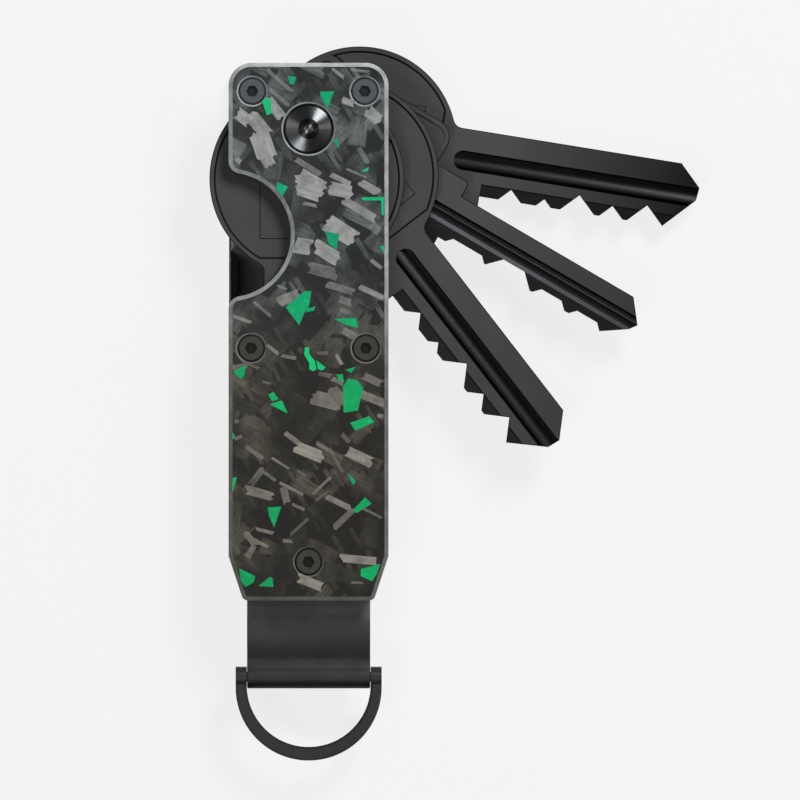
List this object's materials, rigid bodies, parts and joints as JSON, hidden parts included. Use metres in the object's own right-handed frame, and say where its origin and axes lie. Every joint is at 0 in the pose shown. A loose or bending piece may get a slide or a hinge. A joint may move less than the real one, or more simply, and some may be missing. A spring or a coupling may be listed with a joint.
{
  "type": "key organiser",
  "caption": "Pocket key organiser: a flat forged-carbon case with a thumb notch, keys that swing out of it on one pivot, and a folded leather strap with a D-ring.",
  "frame": {"origin": "centre of the case's rear face", "axes": "+Z out of the front face, +Y towards the pivot end, +X to the side the keys open to; it lies flat on its rear face"},
  "size_m": [0.0684, 0.0998, 0.0156],
  "materials": {
    "forged_carbon": "polished forged carbon: chopped carbon tow and green flakes in clear resin, pale bevelled edge",
    "black_liner": "black coated steel sheet, satin",
    "black_key": "satin black coated key metal with blacker milled grooves",
    "dark_screw": "dark steel, turned and satin",
    "bright_pivot": "radially turned dark steel face",
    "bronze_washer": "thin bronze washer",
    "black_spacer": "matt black moulded spacer",
    "black_strap": "smooth satin black leather with fine grain and dyed edges",
    "black_ring": "satin black coated steel"
  },
  "bodies": {
    "case": {"front_scale": "forged_carbon", "rear_scale": "forged_carbon", "front_liner": "black_liner", "rear_liner": "black_liner", "spine_wall": "black_liner", "pivot_barrel": "bright_pivot", "pivot_screw": "bright_pivot", "front_scale_screws": "dark_screw", "rear_scale_screws": "dark_screw", "front_tail_screw": "dark_screw", "rear_tail_screw": "dark_screw", "tail_post": "dark_screw", "front_strap_spacer": "black_spacer", "strap_core_spacer": "black_spacer", "rear_strap_spacer": "black_spacer", "strap": "black_strap", "key_washer_1": "bronze_washer", "key_washer_2": "bronze_washer", "key_washer_3": "bronze_washer", "key_washer_4": "bronze_washer", "key_washer_5": "bronze_washer"},
    "key_rear": {"key_rear": "black_key"},
    "key_mid_rear": {"key_mid_rear": "black_key"},
    "key_mid_front": {"key_mid_front": "black_key"},
    "key_front": {"key_front": "black_key"},
    "d_ring": {"ring_bow": "black_ring", "ring_pin": "black_ring"}
  },
  "joints": [
    {"name": "rear_key_swing", "type": "hinge", "parent": "case", "child": "key_rear", "pos_m": [0, 0.0283, 0.0042], "axis": [0, 0, 1], "range_deg": [-80.84, 219.16]},
    {"name": "mid_rear_key_swing", "type": "hinge", "parent": "case", "child": "key_mid_rear", "pos_m": [0, 0.0283, 0.0066], "axis": [0, 0, 1], "range_deg": [-59.73, 240.27]},
    {"name": "mid_front_key_swing", "type": "hinge", "parent": "case", "child": "key_mid_front", "pos_m": [0, 0.0283, 0.009], "axis": [0, 0, 1], "range_deg": [-37.72, 262.28]},
    {"name": "front_key_swing", "type": "hinge", "parent": "case", "child": "key_front", "pos_m": [0, 0.0283, 0.0114], "axis": [0, 0, 1], "range_deg": [0, 300]},
    {"name": "ring_swing", "type": "hinge", "parent": "case", "child": "d_ring", "pos_m": [0, -0.04819, 0.0078], "axis": [1, 0, 0], "range_deg": [-130, 130]}
  ]
}
